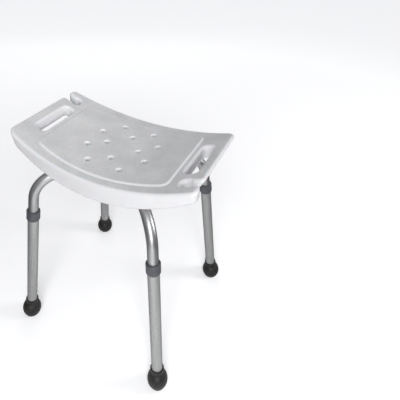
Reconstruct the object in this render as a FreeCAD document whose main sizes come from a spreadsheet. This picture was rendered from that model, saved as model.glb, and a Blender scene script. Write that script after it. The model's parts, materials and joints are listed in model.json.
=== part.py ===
import FreeCAD, Part
import math
import operator
import os
from types import SimpleNamespace

import Sketcher
from FreeCAD import Placement, Rotation, Vector

# Shower stool. The seat is long in X, from hand slot to hand slot. +Y is the back, +Z is up, and the origin
# is on the floor below the middle of the seat. Turned half a turn about Z, the stool looks the same.

DIMENSIONS = [
    # seat board
    ("seat_length", 485, "end to end"),
    ("seat_depth_middle", 302, "front to back at the middle of the bowed edges"),
    ("seat_depth_end", 258, "front to back at the ends"),
    ("seat_height", 560, "floor to the ledge round the panel, at the middle of the seat"),
    ("seat_thickness", 50, "at the middle"),
    ("seat_top_radius", 600, "saddle curve of the top"),
    ("seat_bottom_radius", 440, "saddle curve of the underside: the board is thinner at its ends"),
    ("seat_wall", 3, "wall of the hollow board"),
    ("post_wall", 3.5, "wall round each drain hole and insert"),
    ("rim_wall", 5, "wall of the board along its edge"),
    ("corner_radius", 24, "plan radius of the two plain corners"),
    ("corner_solid", 22, "block that is left solid in those corners"),
    ("lug_radius", 11, "plan radius of the two corners beside a notch"),
    ("top_rounding", 7, "rounding of the upper rim"),
    ("bottom_rounding", 7, "rounding of the lower rim"),
    ("panel_length", 340, "raised panel, end to end"),
    ("panel_depth_middle", 252, "raised panel, front to back"),
    ("panel_depth_end", 216, "raised panel, front to back at its ends"),
    ("panel_corner", 18, "plan radius of the panel's corners"),
    ("panel_rise", 3, "panel above the ledge"),
    ("panel_rounding", 2, "rounding of the panel's edge"),
    ("panel_sink", 10, "how far the panel's own solid stops above the underside"),
    ("slot_offset", 200, "middle of a hand slot from the middle of the seat"),
    ("slot_shift", 6, "a hand slot's shift away from the notch beside it"),
    ("slot_width", 28, "hand slot across"),
    ("slot_length", 122, "hand slot along"),
    ("slot_corner", 12, "corner radius of a hand slot"),
    ("slot_rounding", 6, "flare of a hand slot's edges"),
    ("notch_radius", 13, "round seat of a handset notch"),
    ("notch_neck", 20, "width of a notch's way in"),
    ("notch_depth", 32, "round seat's centre from the end of the board"),
    ("notch_offset", 93, "notch from the middle of the seat"),
    ("notch_lip", 9, "rounding of a notch's mouth, in plan"),
    ("notch_throat", 8, "rounding where its neck meets its round seat, in plan"),
    ("notch_wall_length", 72, "block that is left solid round a notch, along the seat"),
    ("notch_wall_width", 46, "that block across"),
    ("notch_wall_shift", 4, "that block's shift towards the nearer long edge"),
    ("drain_radius", 6, "drain hole"),
    ("drain_rounding", 3, "rounding of a drain hole's upper edge"),
    ("drain_inner_x", 45, "inner ring of four drain holes"),
    ("drain_inner_y", 51, "inner ring of four drain holes"),
    ("drain_outer_x", 80, "outer drain holes nearest the ends"),
    ("drain_outer_y", 34, "outer drain holes nearest the ends"),
    ("drain_side_x", 43, "outer drain holes nearest the long edges"),
    ("drain_side_y", 85, "outer drain holes nearest the long edges"),
    # frame
    ("leg_direction", 42.8, "degrees from X to the vertical plane of a leg"),
    ("splay", 9, "degrees that a leg leans out from upright"),
    ("foot_reach", 298, "leg axis at the floor, from the middle"),
    ("tube_height", 512, "axis of the level part of a cross tube"),
    ("tube_radius", 12.7, "outside of a cross tube"),
    ("tube_wall", 1.5, "cross tube"),
    ("bend_radius", 80, "bend of a cross tube, at its axis"),
    ("tube_end", 62, "lower end of a cross tube, along the leg from the floor"),
    ("dip_depth", 29, "how far the lower cross tube dips under the upper one"),
    ("dip_bend", 60, "bend radius of the dip"),
    ("dip_flat", 20, "half of the level part of the dip"),
    ("channel_clearance", 0.5, "between a cross tube and its channel in the board"),
    ("channel_length", 500, "channel in the board, past both long edges"),
    ("channel_wall_length", 480, "solid round a channel"),
    # centre joint
    ("spacer_radius", 11, "spacer between the crossed tubes"),
    ("spacer_margin", 4, "spacer's ends from the tubes' axes"),
    ("groove_length", 60, "cutters of its two grooves"),
    ("bolt_radius", 3, "M6 centre bolt"),
    ("bolt_hole", 3.3, "clearance hole for the centre bolt"),
    ("bolt_head_radius", 5.5, "button head"),
    ("bolt_head_height", 3.5, "button head"),
    ("bolt_socket", 4, "hexagon socket, across flats"),
    ("bolt_socket_depth", 2, "hexagon socket"),
    ("bolt_excess", 2, "bolt beyond the nut"),
    ("bolt_chamfer", 0.8, "end of the bolt"),
    ("washer_radius", 8, "centre washer"),
    ("washer_thickness", 1.6, "centre washer"),
    ("nut_flats", 10, "across flats"),
    ("nut_height", 6, "lock nut"),
    ("nut_pocket_radius", 13, "room for the nut in the board"),
    ("nut_pocket_top", 542, "roof of that room"),
    # saddles
    ("saddle_offset", 120, "saddle from the middle of the seat, along a cross tube"),
    ("saddle_length", 24, "along the tube"),
    ("saddle_width", 66, "across the tube"),
    ("saddle_wall", 3, "thickness"),
    ("pad_bottom", 508, "flat pads on the underside, which the saddles bear on"),
    ("pad_length", 34, "along the tube"),
    ("pad_width", 70, "across the tube"),
    ("pad_height", 24, "depth of a pad's block, which ends inside the board"),
    ("ear_corner", 5, "round corners of a saddle's ears"),
    ("screw_offset", 24, "screw from the tube's axis"),
    ("screw_radius", 2.5, "M5 seat screw"),
    ("screw_length", 12, "under the head"),
    ("screw_head_radius", 4.75, "pan head"),
    ("screw_head_height", 3, "pan head"),
    ("screw_head_rounding", 1.5, "pan head"),
    ("screw_clearance", 0.2, "round a screw in its saddle"),
    ("drive_length", 4.6, "cross recess"),
    ("drive_width", 1, "cross recess"),
    ("drive_depth", 2, "cross recess"),
    ("insert_radius", 4, "brass insert"),
    ("insert_length", 10, "brass insert"),
    # legs
    ("leg_radius", 14.3, "outside of a leg tube"),
    ("leg_wall", 1.3, "leg tube"),
    ("leg_start", 14, "lower end of a leg tube, along the leg from the floor"),
    ("leg_end", 407, "upper end of a leg tube"),
    ("hole_pitch", 20, "height holes"),
    ("hole_count", 7, "height holes"),
    ("hole_radius", 4.3, "height hole"),
    ("button_height", 86, "snap button, along the leg from the floor"),
    ("collar_radius", 17.2, "anti-rattle collar"),
    ("collar_length", 29, "anti-rattle collar"),
    ("collar_lip", 5, "part of the collar above the leg tube"),
    ("collar_bore", 13, "collar round the cross tube"),
    ("collar_foot", 1, "width of the collar's lower end"),
    ("collar_taper", 4, "height of its flare above that end"),
    ("collar_chamfer", 1.4, "chamfer at its upper end"),
    # feet
    ("foot_height", 66, "top of a foot, along the leg"),
    ("foot_bulb_radius", 26.5, "widest part"),
    ("foot_bulb_height", 25, "widest part, along the leg"),
    ("foot_base_radius", 18, "edge of the sole"),
    ("foot_base_flare", 1, "how much wider the foot is at floor height on its axis"),
    ("foot_stock", 6, "rubber below the floor, which the sole's cut takes off"),
    ("foot_bulb_lower", 30, "radius of the outline below the widest part"),
    ("foot_bulb_upper", 27, "radius of the outline above it"),
    ("foot_neck_radius", 16.8, "socket"),
    ("foot_neck_height", 49, "where the bulb meets the socket"),
    ("foot_lip_radius", 17.8, "bead round the top of the socket"),
    ("foot_lip_height", 3.5, "bead"),
    ("foot_lip_edge", 1, "chamfers of the bead"),
    ("foot_floor", 12, "rubber below the washer"),
    ("foot_washer_radius", 13.6, "steel washer in the foot"),
    ("foot_washer_hole", 4, "steel washer in the foot"),
    # snap buttons
    ("button_radius", 3.9, "shank"),
    ("button_proud", 3.7, "how far it stands out of the leg tube"),
    ("button_dome", 1.4, "height of its dome"),
    ("button_flange_radius", 5, "flange inside the cross tube"),
    ("button_flange_low", 8.6, "inner face of the flange, from the tube's axis"),
    ("button_flange_high", 9.6, "outer face of the flange"),
    ("button_hole", 4.2, "hole in the cross tube"),
    ("spring_thickness", 0.5, "leaf spring"),
    ("spring_width", 7, "leaf spring"),
    ("spring_tail", 7, "leaf below the button's axis"),
    ("spring_rise", 34, "leaf above the button's axis"),
    ("spring_bend", 3, "outer radius of the fold"),
    ("spring_slack", 0.2, "half of the fold's width is this much under its radius"),
    ("spring_front", 8.5, "outer face of the front leaf at its tail"),
    ("spring_back", 10, "outer face of the back leaf at its tail"),
]

LEGS = {"front_left": (-1, -1), "front_right": (1, -1), "back_right": (1, 1), "back_left": (-1, 1)}
BELOW, ABOVE = 450, 650  # heights that the stock for the seat board spans, and cuts through it


class Size:
    """A number with the spreadsheet expression that gives it."""

    def __init__(self, value, text):
        self.value = value
        self.text = text

    def __add__(self, other):
        return combine(self, "+", other)

    def __radd__(self, other):
        return combine(other, "+", self)

    def __sub__(self, other):
        return combine(self, "-", other)

    def __rsub__(self, other):
        return combine(other, "-", self)

    def __mul__(self, other):
        return combine(self, "*", other)

    def __rmul__(self, other):
        return combine(other, "*", self)

    def __truediv__(self, other):
        return combine(self, "/", other)

    def __neg__(self):
        return combine(0, "-", self)


OPERATIONS = {"+": operator.add, "-": operator.sub, "*": operator.mul, "/": operator.truediv}


def size(thing):
    return thing if isinstance(thing, Size) else Size(float(thing), f"({thing})")


def combine(left, sign, right):
    left, right = size(left), size(right)
    return Size(OPERATIONS[sign](left.value, right.value), f"({left.text} {sign} {right.text})")


def root(thing):
    return Size(math.sqrt(thing.value), f"sqrt({thing.text})")


def sine(angle):
    return Size(math.sin(math.radians(angle.value)), f"sin({angle.text} * 1 deg)")


def cosine(angle):
    return Size(math.cos(math.radians(angle.value)), f"cos({angle.text} * 1 deg)")


def tangent(angle):
    return Size(math.tan(math.radians(angle.value)), f"tan({angle.text} * 1 deg)")


doc = FreeCAD.newDocument("ShowerStool")
sheet = doc.addObject("Spreadsheet::Sheet", "Dims")
for row, (alias, value, note) in enumerate(DIMENSIONS, start=1):
    sheet.set(f"A{row}", alias)
    sheet.set(f"B{row}", str(value))
    sheet.set(f"C{row}", note)
    sheet.setAlias(f"B{row}", alias)
doc.recompute()
D = SimpleNamespace(**{alias: Size(float(sheet.get(alias)), f"Dims.{alias}") for alias, _, _ in DIMENSIONS})


# ---------------------------------------------------------------- sketches and features


def bind(thing, **sizes):
    """Binds properties of an object to spreadsheet expressions."""
    for name, amount in sizes.items():
        thing.setExpression(name, size(amount).text)
    return thing


def limit(sketch, kind, places, amount):
    """Adds a dimension to a sketch and binds it."""
    index = sketch.addConstraint(Sketcher.Constraint(kind, *places, amount.value))
    sketch.setExpression(f"Constraints[{index}]", amount.text)


def pin_point(sketch, geometry, end, corner):
    """Fixes one end of a line or arc at (x, y)."""
    for kind, axis, amount in zip(("DistanceX", "DistanceY"), (-2, -1), corner):
        amount = size(amount)
        if abs(amount.value) < 1e-9:
            sketch.addConstraint(Sketcher.Constraint("PointOnObject", geometry, end, axis))
        else:
            limit(sketch, kind, (-1, 1, geometry, end), amount)


def arc_between(start, finish, radius, turn):
    """The short arc from start to finish, turning left if turn is 1 and right if it is -1."""
    chord = finish - start
    normal = Vector(-chord.y, chord.x, 0).normalize()
    reach = math.sqrt(max(radius**2 - chord.Length**2 / 4, 0))
    centre = (start + finish) / 2 + normal * (turn * reach)
    first, last = (start, finish) if turn > 0 else (finish, start)
    low = math.atan2(first.y - centre.y, first.x - centre.x)
    high = math.atan2(last.y - centre.y, last.x - centre.x)
    if high <= low:
        high += 2 * math.pi
    return Part.ArcOfCircle(Part.Circle(centre, Vector(0, 0, 1), radius), low, high)


def draw(sketch, corners, arcs=None, closed=True):
    """Draws lines from corner to corner. arcs gives the sides that are arcs: {side: (radius, turn)}."""
    arcs = arcs or {}
    points = [Vector(size(x).value, size(y).value, 0) for x, y in corners]
    sides = len(points) if closed else len(points) - 1
    ends = []
    for side in range(sides):
        start, finish = points[side], points[(side + 1) % len(points)]
        if side in arcs:
            radius, turn = size(arcs[side][0]), arcs[side][1]
            geometry = sketch.addGeometry(arc_between(start, finish, radius.value, turn))
            ends.append((geometry, 1, 2) if turn > 0 else (geometry, 2, 1))
        else:
            geometry = sketch.addGeometry(Part.LineSegment(start, finish))
            ends.append((geometry, 1, 2))
    for side in range(sides if closed else sides - 1):
        geometry, _, finish = ends[side]
        following, start, _ = ends[(side + 1) % sides]
        sketch.addConstraint(Sketcher.Constraint("Coincident", geometry, finish, following, start))
    for side, (geometry, start, _) in enumerate(ends):
        pin_point(sketch, geometry, start, corners[side])
    if not closed:
        geometry, _, finish = ends[-1]
        pin_point(sketch, geometry, finish, corners[-1])
    for side, (radius, _) in arcs.items():
        limit(sketch, "Radius", (ends[side][0],), size(radius))
    return sketch


def circle(sketch, x, y, radius):
    """Draws a circle."""
    x, y, radius = size(x), size(y), size(radius)
    centre = Vector(x.value, y.value, 0)
    geometry = sketch.addGeometry(Part.Circle(centre, Vector(0, 0, 1), radius.value))
    if abs(x.value) < 1e-9 and abs(y.value) < 1e-9:
        sketch.addConstraint(Sketcher.Constraint("Coincident", geometry, 3, -1, 1))
    else:
        pin_point(sketch, geometry, 3, (x, y))
    limit(sketch, "Radius", (geometry,), radius)
    return sketch


def rounded_box(sketch, x, y, length, width, corner):
    """Draws a rectangle with round corners, centred on (x, y): length along X, width along Y."""
    right, left = x + length / 2, x - length / 2
    back, front = y + width / 2, y - width / 2
    corners = [
        (left + corner, front), (right - corner, front), (right, front + corner), (right, back - corner),
        (right - corner, back), (left + corner, back), (left, back - corner), (left, front + corner),
    ]
    return draw(sketch, corners, {side: (corner, 1) for side in (1, 3, 5, 7)})


def body_sketch(body, name, role, offset=None):
    """A sketch on one of the body's own origin planes, raised by offset along the plane's normal."""
    sketch = body.newObject("Sketcher::SketchObject", name)
    plane = [part for part in body.Origin.OriginFeatures if part.Role == role][0]
    sketch.AttachmentSupport = [(plane, "")]
    sketch.MapMode = "FlatFace"
    if offset is not None:
        bind(sketch, **{"AttachmentOffset.Base.z": offset})
    return sketch


def new_body(label, placement=None):
    body = doc.addObject("PartDesign::Body", label + "_body")
    body.Label = label
    if placement is not None:
        body.Placement = placement
    return body


def feature(body, kind, name, sketch, **sizes):
    made = body.newObject("PartDesign::" + kind, name)
    made.Profile = sketch
    bind(made, **sizes)
    return made


def pad(body, sketch, length, midplane=False, reverse=False):
    made = feature(body, "Pad", sketch.Name + "_pad", sketch, Length=length)
    made.Midplane = midplane
    made.Reversed = reverse
    return made


def pocket(body, sketch, length, midplane=False, reverse=False):
    """Cuts a sketch away and checks that it took something off."""
    doc.recompute()
    before = body.Tip.Shape.Volume
    made = feature(body, "Pocket", sketch.Name + "_pocket", sketch, Length=length)
    made.Midplane = midplane
    made.Reversed = reverse
    doc.recompute()
    if made.Shape.Volume > before - 0.5:
        raise ValueError(f"{made.Name} cuts nothing")
    return made


def revolve(body, sketch):
    """Turns a sketch on the XZ plane about the body's Z axis."""
    made = feature(body, "Revolution", sketch.Name + "_turned", sketch)
    made.ReferenceAxis = (sketch, ["V_Axis"])
    made.Angle = 360
    return made


def fillet(body, radius, test, name):
    """Rounds the edges of the body's tip that pass the test."""
    doc.recompute()
    tip = body.Tip
    edges = [f"Edge{index}" for index, edge in enumerate(tip.Shape.Edges, start=1) if test(edge)]
    if not edges:
        raise ValueError(f"{name} finds no edge")
    made = body.newObject("PartDesign::Fillet", name)
    made.Base = (tip, edges)
    bind(made, Radius=radius)
    doc.recompute()
    if "Invalid" in made.State or made.Shape.isNull():
        raise ValueError(f"{name} failed")
    return made


def loose_sketch(name, upright=False):
    """A sketch on the XY plane, or on the XZ plane if upright."""
    sketch = doc.addObject("Sketcher::SketchObject", name)
    if upright:
        sketch.Placement = Placement(Vector(), Rotation(Vector(1, 0, 0), 90))
    else:
        sketch.Placement = Placement(Vector(0, 0, BELOW), Rotation())
    return sketch


def extrude(sketch, length, symmetric=False):
    made = doc.addObject("Part::Extrusion", sketch.Name + "_solid")
    made.Base = sketch
    made.DirMode = "Normal"
    made.Solid = True
    made.Symmetric = symmetric
    return bind(made, LengthFwd=length)


def place(thing, x, y, z, turn=None):
    """Puts an object at (x, y, z), turned about Z by an angle in degrees."""
    if turn is not None:
        thing.Placement = Placement(Vector(), Rotation(Vector(0, 0, 1), size(turn).value))
    return bind(thing, **{"Placement.Base.x": x, "Placement.Base.y": y, "Placement.Base.z": z})


def post(name, x, y, low, high, radius):
    """An upright cylinder."""
    made = doc.addObject("Part::Cylinder", name)
    bind(made, Radius=radius, Height=high - low)
    return place(made, x, y, low)


def block(name, x, y, low, high, length, width, turn=None):
    """An upright box centred on (x, y). Turned, its length lies along that direction."""
    made = doc.addObject("Part::Box", name)
    bind(made, Length=length, Width=width, Height=high - low)
    if turn is None:
        return place(made, x - length / 2, y - width / 2, low)
    corner_x = x - length / 2 * cosine(turn) + width / 2 * sine(turn)
    corner_y = y - length / 2 * sine(turn) - width / 2 * cosine(turn)
    return place(made, corner_x, corner_y, low, turn)


def fuse(name, shapes):
    made = doc.addObject("Part::MultiFuse", name)
    made.Shapes = shapes
    return made


def join(kind, name, base, tool):
    """A Part::Common or Part::Cut of two objects."""
    made = doc.addObject("Part::" + kind, name)
    made.Base = base
    made.Tool = tool
    return made


# ---------------------------------------------------------------- seat board


def middle_of(edge):
    return edge.valueAt((edge.FirstParameter + edge.LastParameter) / 2)


def is_upright(edge):
    return edge.BoundBox.XLength < 0.01 and edge.BoundBox.YLength < 0.01 and edge.BoundBox.ZLength > 1


def bowed_plan(name, length, middle, end):
    """A solid whose long sides bow out from end to middle depth."""
    reach, bow = length / 2, (middle - end) / 2
    radius = (reach * reach + bow * bow) / (2 * bow)
    corners = [(-reach, -end / 2), (reach, -end / 2), (reach, end / 2), (-reach, end / 2)]
    return extrude(draw(loose_sketch(name), corners, {0: (radius, 1), 2: (radius, 1)}), ABOVE - BELOW)


def round_uprights(solid, name, radius_at):
    """Rounds a solid's upright edges. radius_at gives the size at a point, or None to leave it sharp."""
    doc.recompute()
    rounded = doc.addObject("Part::Fillet", name)
    edges = []
    for number, edge in enumerate(solid.Shape.Edges, start=1):
        amount = radius_at(middle_of(edge)) if is_upright(edge) else None
        if amount is not None:
            edges.append((number, amount.value, amount.value))
    rounded.Base = solid
    rounded.Edges = edges
    return rounded


def notch_centre(side):
    """Plan position of a notch's round seat, at the right end for side 1 and the left for -1."""
    return side * (D.seat_length / 2 - D.notch_depth), -side * D.notch_offset


def seat_plan():
    """The board's plan, straight up: bowed sides, a keyhole notch in each end, and round corners."""
    whole = bowed_plan("seat_plan", D.seat_length, D.seat_depth_middle, D.seat_depth_end)
    notches = []
    for side in (-1, 1):
        x, y = notch_centre(side)
        notches.append(post(f"notch_round_{side + 1}", x, y, BELOW, ABOVE, D.notch_radius))
        neck_x, neck_length = x + side * D.notch_depth / 2, D.notch_depth
        notches.append(
            block(f"notch_neck_{side + 1}", neck_x, y, BELOW, ABOVE, neck_length, D.notch_neck)
        )
    cut = join("Cut", "notched_plan", whole, fuse("notches", notches))

    def radius_at(point):
        if abs(point.y) > D.seat_depth_end.value / 2 - 1:
            return D.corner_radius if point.x * point.y > 0 else D.lug_radius
        if abs(point.x) > D.seat_length.value / 2 - 1:
            return D.notch_lip
        beyond_round = abs(point.x) > notch_centre(1)[0].value + 1
        return D.notch_throat if beyond_round else None

    return round_uprights(cut, "rounded_plan", radius_at)


def sagging_slab(name, top, top_radius, bottom, bottom_radius):
    """A slab between two arcs that rise towards the ends of the seat. top and bottom are their heights
    at the middle."""
    reach = D.seat_length / 2 + 10
    high = top + top_radius - root(top_radius * top_radius - reach * reach)
    low = bottom + bottom_radius - root(bottom_radius * bottom_radius - reach * reach)
    corners = [(-reach, low), (reach, low), (reach, high), (-reach, high)]
    outline = draw(loose_sketch(name, upright=True), corners, {0: (bottom_radius, 1), 2: (top_radius, -1)})
    return extrude(outline, D.seat_depth_middle + 20, symmetric=True)


def top_at(x, lift=0.0):
    radius = D.seat_top_radius.value - lift
    return D.seat_height.value + lift + radius - math.sqrt(radius**2 - x**2)


def bottom_at(x):
    radius = D.seat_bottom_radius.value
    return D.seat_height.value - D.seat_thickness.value + radius - math.sqrt(radius**2 - x**2)


def near_rim(point):
    """Tells an edge of the outline from one of the panel or a pad."""
    beyond_panel = abs(point.x) > D.panel_length.value / 2 + 5
    return beyond_panel or abs(point.y) > D.panel_depth_middle.value / 2 + 5


def drain_places():
    ring = [(sx * D.drain_inner_x, 0.0) for sx in (-1, 1)]
    ring += [(0.0, sy * D.drain_inner_y) for sy in (-1, 1)]
    for sx in (-1, 1):
        for sy in (-1, 1):
            ring.append((sx * D.drain_outer_x, sy * D.drain_outer_y))
            ring.append((sx * D.drain_side_x, sy * D.drain_side_y))
    return ring


def across(turn, along, sideways):
    """The plan position that is so far along a cross tube and so far to its left."""
    return along * cosine(turn) - sideways * sine(turn), along * sine(turn) + sideways * cosine(turn)


CROSSINGS = {"upper": D.leg_direction, "lower": -D.leg_direction}


def saddle_places():
    """(leg, direction of its tube, place along it, side) of each saddle."""
    for leg, (sx, sy) in LEGS.items():
        yield leg, CROSSINGS["upper" if sx == sy else "lower"], sx * D.saddle_offset


def screw_places():
    for _, turn, along in saddle_places():
        for side in (-1, 1):
            yield across(turn, along, side * D.screw_offset)


def level_rod(name, turn, height, length, radius):
    """A cylinder along the line of a cross tube, with its middle above the origin."""
    rod = doc.addObject("Part::Cylinder", name)
    bind(rod, Radius=radius, Height=length)
    spin = Rotation(Vector(0, 0, 1), turn.value) * Rotation(Vector(0, 1, 0), 90)
    rod.Placement = Placement(Vector(), spin)
    start_x, start_y = across(turn, -length / 2, 0)
    return bind(rod, **{"Placement.Base.x": start_x, "Placement.Base.y": start_y, "Placement.Base.z": height})


def seat_blank():
    """The board's outside, with its raised panel and the pads below, as one solid."""
    bottom = D.seat_height - D.seat_thickness
    plan = seat_plan()
    slab = sagging_slab("seat_side", D.seat_height, D.seat_top_radius, bottom, D.seat_bottom_radius)
    board = join("Common", "board", plan, slab)
    panel_plan = bowed_plan("panel_plan", D.panel_length, D.panel_depth_middle, D.panel_depth_end)
    panel_plan = round_uprights(panel_plan, "panel_rounded", lambda point: D.panel_corner)
    panel_top, panel_radius = D.seat_height + D.panel_rise, D.seat_top_radius - D.panel_rise
    panel_slab = sagging_slab(
        "panel_side", panel_top, panel_radius, bottom + D.panel_sink, D.seat_bottom_radius - D.panel_sink
    )
    panel = join("Common", "panel", panel_plan, panel_slab)
    pads = []
    for leg, turn, along in saddle_places():
        x, y = across(turn, along, 0)
        pad_top = D.pad_bottom + D.pad_height
        pads.append(block("pad_" + leg, x, y, D.pad_bottom, pad_top, D.pad_length, D.pad_width, turn))
    return fuse("seat_blank", [board, panel] + pads)


def seat_cavity():
    """The closed hollow of the board: everything inside its walls, less the walls round each hole."""
    bottom = D.seat_height - D.seat_thickness
    wall, rim = D.seat_wall, D.rim_wall
    plan = bowed_plan(
        "cavity_plan", D.seat_length - 2 * rim, D.seat_depth_middle - 2 * rim, D.seat_depth_end - 2 * rim
    )
    plan = round_uprights(plan, "cavity_rounded", lambda point: D.corner_radius - rim)
    top_radius, bottom_radius = D.seat_top_radius + wall, D.seat_bottom_radius - wall
    slab = sagging_slab("cavity_side", D.seat_height - wall, top_radius, bottom + wall, bottom_radius)
    keep = []
    for side in (-1, 1):
        corner_x, corner_y = side * (D.seat_length / 2 - rim), side * (D.seat_depth_end / 2 - rim)
        solid = D.corner_solid
        keep.append(block(f"corner_{side + 1}", corner_x, corner_y, BELOW, ABOVE, solid, solid))
        slot_x, slot_y = side * D.slot_offset, side * D.slot_shift
        around = 2 * (D.slot_rounding + wall)
        width, length = D.slot_width + around, D.slot_length + around
        keep.append(block(f"slot_wall_{side + 1}", slot_x, slot_y, BELOW, ABOVE, width, length))
        notch_x = side * (D.seat_length / 2 - D.notch_depth / 2)
        notch_y = -side * (D.notch_offset + D.notch_wall_shift)
        length, width = D.notch_wall_length, D.notch_wall_width
        keep.append(block(f"notch_wall_{side + 1}", notch_x, notch_y, BELOW, ABOVE, length, width))
    for index, (x, y) in enumerate(drain_places()):
        keep.append(post(f"drain_wall_{index}", x, y, BELOW, ABOVE, D.drain_radius + D.post_wall))
    roof = D.tube_height + D.tube_radius + D.channel_clearance + wall
    for name, turn in CROSSINGS.items():
        width = 2 * (D.tube_radius + D.channel_clearance + wall)
        keep.append(block(f"channel_wall_{name}", 0, 0, BELOW, roof, D.channel_wall_length, width, turn))
    for index, (x, y) in enumerate(screw_places()):
        top = D.pad_bottom + D.insert_length + wall
        keep.append(post(f"boss_{index}", x, y, BELOW, top, D.insert_radius + D.post_wall))
    nut_wall = D.nut_pocket_radius + wall
    keep.append(post("nut_wall", 0, 0, BELOW, D.nut_pocket_top + wall, nut_wall))
    return join("Cut", "cavity", join("Common", "cavity_space", plan, slab), fuse("cavity_walls", keep))


def make_seat():
    body = doc.addObject("PartDesign::Body", "seat_body")
    body.BaseFeature = seat_blank()
    doc.recompute()

    def on_top_rim(edge):
        point = middle_of(edge)
        return near_rim(point) and abs(point.z - top_at(point.x)) < 0.3

    def on_bottom_rim(edge):
        point = middle_of(edge)
        return near_rim(point) and abs(point.z - bottom_at(point.x)) < 0.3

    fillet(body, D.top_rounding, on_top_rim, "top_rim")
    fillet(body, D.bottom_rounding, on_bottom_rim, "bottom_rim")

    def on_panel_edge(edge):
        point = middle_of(edge)
        return not near_rim(point) and abs(point.z - top_at(point.x, D.panel_rise.value)) < 0.3

    fillet(body, D.panel_rounding, on_panel_edge, "panel_edge")

    depth = ABOVE - BELOW
    for side, name in ((-1, "left"), (1, "right")):
        slot = body_sketch(body, "slot_" + name, "XY_Plane", ABOVE)
        middle = (side * D.slot_offset, side * D.slot_shift)
        rounded_box(slot, *middle, D.slot_width, D.slot_length, D.slot_corner)
        pocket(body, slot, depth)
    drains = body_sketch(body, "drains", "XY_Plane", ABOVE)
    for x, y in drain_places():
        circle(drains, x, y, D.drain_radius)
    pocket(body, drains, depth)
    doc.recompute()

    def beside(point, x, y, half_length, half_width):
        return abs(point.x - x) < half_length + 0.5 and abs(point.y - y) < half_width + 0.5

    def around_slot(edge):
        point = middle_of(edge)
        in_level = not is_upright(edge)
        return in_level and any(
            beside(point, side * D.slot_offset.value, side * D.slot_shift.value,
                   D.slot_width.value / 2, D.slot_length.value / 2)
            for side in (-1, 1)
        )

    def around_drain(edge):
        point = middle_of(edge)
        on_top = point.z > D.seat_height.value - 5
        return on_top and edge.BoundBox.ZLength < 3 and any(
            abs(math.hypot(point.x - size(x).value, point.y - size(y).value) - D.drain_radius.value) < 0.3
            for x, y in drain_places()
        )

    fillet(body, D.slot_rounding, around_slot, "slot_edges")
    fillet(body, D.drain_rounding, around_drain, "drain_edges")

    removed = [seat_cavity()]
    clear = D.tube_radius + D.channel_clearance
    length = D.channel_length
    for name, turn in CROSSINGS.items():
        removed.append(block(f"channel_{name}", 0, 0, BELOW, D.tube_height, length, 2 * clear, turn))
        removed.append(level_rod(f"channel_roof_{name}", turn, D.tube_height, length, clear))
    for index, (x, y) in enumerate(screw_places()):
        top = D.pad_bottom + D.insert_length
        removed.append(post(f"insert_hole_{index}", x, y, BELOW, top, D.insert_radius))
    removed.append(post("nut_pocket", 0, 0, BELOW, D.nut_pocket_top, D.nut_pocket_radius))
    seat = join("Cut", "seat_cut", body, fuse("seat_openings", removed))
    seat.Label = "seat"
    return seat


# ---------------------------------------------------------------- frame


def tube_path(dipped):
    """Corners and arcs of a cross tube's axis, from one end to the other, in its own upright plane."""
    lean = D.splay
    run = D.bend_radius * tangent((90 - lean) / 2)
    corner = D.foot_reach - D.tube_height * tangent(lean)
    end = (D.foot_reach - D.tube_end * sine(lean), D.tube_end * cosine(lean))
    upright = (corner + run * sine(lean), D.tube_height - run * cosine(lean))
    level = (corner - run, D.tube_height)
    right = [end, upright, level]
    arcs = {1: (D.bend_radius, 1)}
    if dipped:
        # two equal arcs, one after the other, take the axis down by dip_depth
        cut = 1 - D.dip_depth / (2 * D.dip_bend)
        swing = D.dip_bend * root(1 - cut * cut)
        right += [
            (D.dip_flat + 2 * swing, D.tube_height),
            (D.dip_flat + swing, D.tube_height - D.dip_depth / 2),
            (D.dip_flat, D.tube_height - D.dip_depth),
        ]
        arcs[3] = (D.dip_bend, 1)
        arcs[4] = (D.dip_bend, -1)
    left = [(-x, z) for x, z in reversed(right)]
    last = 2 * len(right) - 2
    arcs.update({last - side: bend for side, bend in list(arcs.items())})
    return right + left, arcs


def make_cross_tube(name, turn, dipped):
    body = new_body("cross_tube_" + name, Placement(Vector(), Rotation(Vector(0, 0, 1), turn.value)))
    path = body_sketch(body, f"path_{name}", "XZ_Plane")
    corners, arcs = tube_path(dipped)
    draw(path, corners, arcs, closed=False)
    doc.recompute()
    section = body.newObject("Sketcher::SketchObject", f"section_{name}")
    section.AttachmentSupport = [(path, "Edge1")]
    section.MapMode = "NormalToEdge"
    circle(section, 0, 0, D.tube_radius)
    circle(section, 0, 0, D.tube_radius - D.tube_wall)
    doc.recompute()
    pipe = body.newObject("PartDesign::AdditivePipe", f"pipe_{name}")
    pipe.Profile = section
    pipe.Spine = path
    pipe.Mode = "Standard"
    doc.recompute()
    bolt_way = body_sketch(body, f"bolt_way_{name}", "XY_Plane", ABOVE)
    pocket(body, circle(bolt_way, 0, 0, D.bolt_hole), ABOVE - BELOW)
    # a button hole near each end, square to the leg and on the side that faces the other leg
    for side, end in ((-1, "a"), (1, "b")):
        cutter = body.newObject("PartDesign::SubtractiveCylinder", f"button_way_{name}_{end}")
        bind(cutter, Radius=D.button_hole, Height=D.tube_radius + 2)
        lean = math.radians(D.splay.value)
        along = D.button_height.value
        point = Vector(side * (D.foot_reach.value - along * math.sin(lean)), 0, along * math.cos(lean))
        inward = Vector(-side * math.cos(lean), 0, -math.sin(lean))
        cutter.Placement = Placement(point, Rotation(Vector(0, 0, 1), inward))
    return body


def tube_height_at(name):
    return D.tube_height - (D.dip_depth if name == "lower" else 0)


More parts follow.
